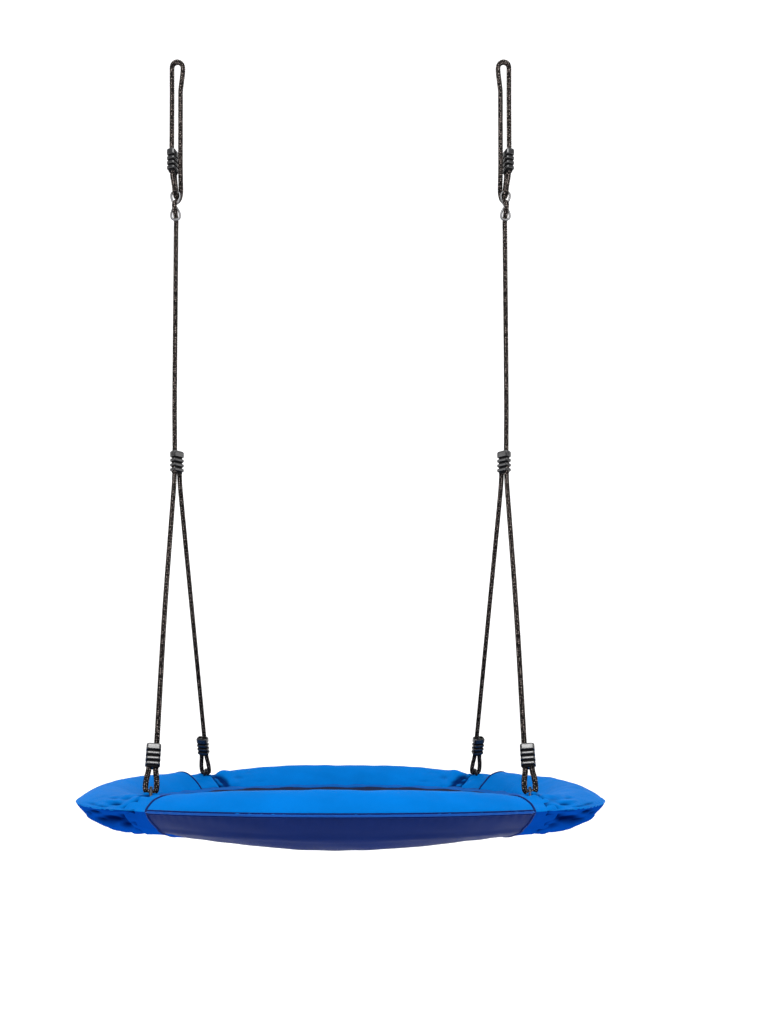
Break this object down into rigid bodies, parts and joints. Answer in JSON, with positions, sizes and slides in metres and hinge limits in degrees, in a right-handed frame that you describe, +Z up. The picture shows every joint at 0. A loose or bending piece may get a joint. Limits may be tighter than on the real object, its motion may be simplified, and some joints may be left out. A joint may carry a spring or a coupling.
{
  "type": "saucer nest swing",
  "caption": "Round padded saucer seat with a steel ring core, hung on braided ropes from two height-adjustable top loops.",
  "frame": {"origin": "centre of the saucer at its lowest point", "axes": "+Z up along the ropes, -Y to the front, +X to the user's right of the two hanging loops"},
  "size_m": [0.95, 0.95, 1.4206],
  "materials": {
    "blue_fabric": "coated polyester weave",
    "navy_fabric": "coated polyester weave",
    "piping_fabric": "folded and stitched binding",
    "mat_fabric": "heavy woven mesh cloth",
    "mat_webbing": "woven webbing",
    "foam": "closed-cell foam",
    "braided_rope": "diamond braid",
    "clamp_plastic": "glossy moulded",
    "wire_steel": "zinc plated",
    "ring_steel": "galvanised",
    "screw_steel": "zinc plated"
  },
  "bodies": {
    "hook_loops": {"left_top_loop": "braided_rope", "right_top_loop": "braided_rope"},
    "hanging_ropes": {"left_inner_strand": "braided_rope", "left_outer_strand": "braided_rope", "right_inner_strand": "braided_rope", "right_outer_strand": "braided_rope"},
    "height_adjusters": {"left_height_ring": "wire_steel", "left_loop_clamp_shell_a": "clamp_plastic", "left_loop_clamp_shell_b": "clamp_plastic", "left_main_rope": "braided_rope", "left_ring_eye": "braided_rope", "right_height_ring": "wire_steel", "right_loop_clamp_shell_a": "clamp_plastic", "right_loop_clamp_shell_b": "clamp_plastic", "right_main_rope": "braided_rope", "right_ring_eye": "braided_rope"},
    "seat": {"back_cover_bottom": "navy_fabric", "back_cover_top": "blue_fabric", "back_foam": "foam", "back_left_ring_tube": "ring_steel", "back_right_ring_tube": "ring_steel", "front_cover_bottom": "navy_fabric", "front_cover_top": "blue_fabric", "front_foam": "foam", "front_left_ring_tube": "ring_steel", "front_right_ring_tube": "ring_steel", "left_back_band": "blue_fabric", "left_back_leg_clamp_shell_a": "clamp_plastic", "left_back_leg_clamp_shell_b": "clamp_plastic", "left_back_leg_rope": "braided_rope", "left_cover_bottom": "navy_fabric", "left_cover_top": "blue_fabric", "left_foam": "foam", "left_front_band": "blue_fabric", "left_front_leg_clamp_shell_a": "clamp_plastic", "left_front_leg_clamp_shell_b": "clamp_plastic", "left_front_leg_rope": "braided_rope", "left_junction_clamp_shell_a": "clamp_plastic", "left_junction_clamp_shell_b": "clamp_plastic", "mat_border": "mat_webbing", "outer_piping": "piping_fabric", "right_back_band": "blue_fabric", "right_back_leg_clamp_shell_a": "clamp_plastic", "right_back_leg_clamp_shell_b": "clamp_plastic", "right_back_leg_rope": "braided_rope", "right_cover_bottom": "navy_fabric", "right_cover_top": "blue_fabric", "right_foam": "foam", "right_front_band": "blue_fabric", "right_front_leg_clamp_shell_a": "clamp_plastic", "right_front_leg_clamp_shell_b": "clamp_plastic", "right_front_leg_rope": "braided_rope", "right_junction_clamp_shell_a": "clamp_plastic", "right_junction_clamp_shell_b": "clamp_plastic", "ring_screws": "screw_steel", "rope_staples": "ring_steel", "seat_mat": "mat_fabric"}
  },
  "joints": [
    {"name": "swing", "type": "hinge", "parent": "hook_loops", "child": "hanging_ropes", "pos_m": [0, 0, 1.393], "axis": [1, 0, 0], "range_deg": [-50, 50]},
    {"name": "ring_slide", "type": "slide", "parent": "hanging_ropes", "child": "height_adjusters", "axis": [0, 0, 1], "range_m": [-0.1, 0.06], "deforming": ["left_inner_strand", "left_outer_strand", "right_inner_strand", "right_outer_strand"]},
    {"name": "rope_feed", "type": "slide", "parent": "height_adjusters", "child": "seat", "axis": [0, 0, 1], "range_m": [-0.12, 0.2], "deforming": ["left_main_rope", "right_main_rope"]}
  ],
  "couplings": [
    {"joint": "ring_slide", "follows": "rope_feed", "ratio": -0.5}
  ]
}
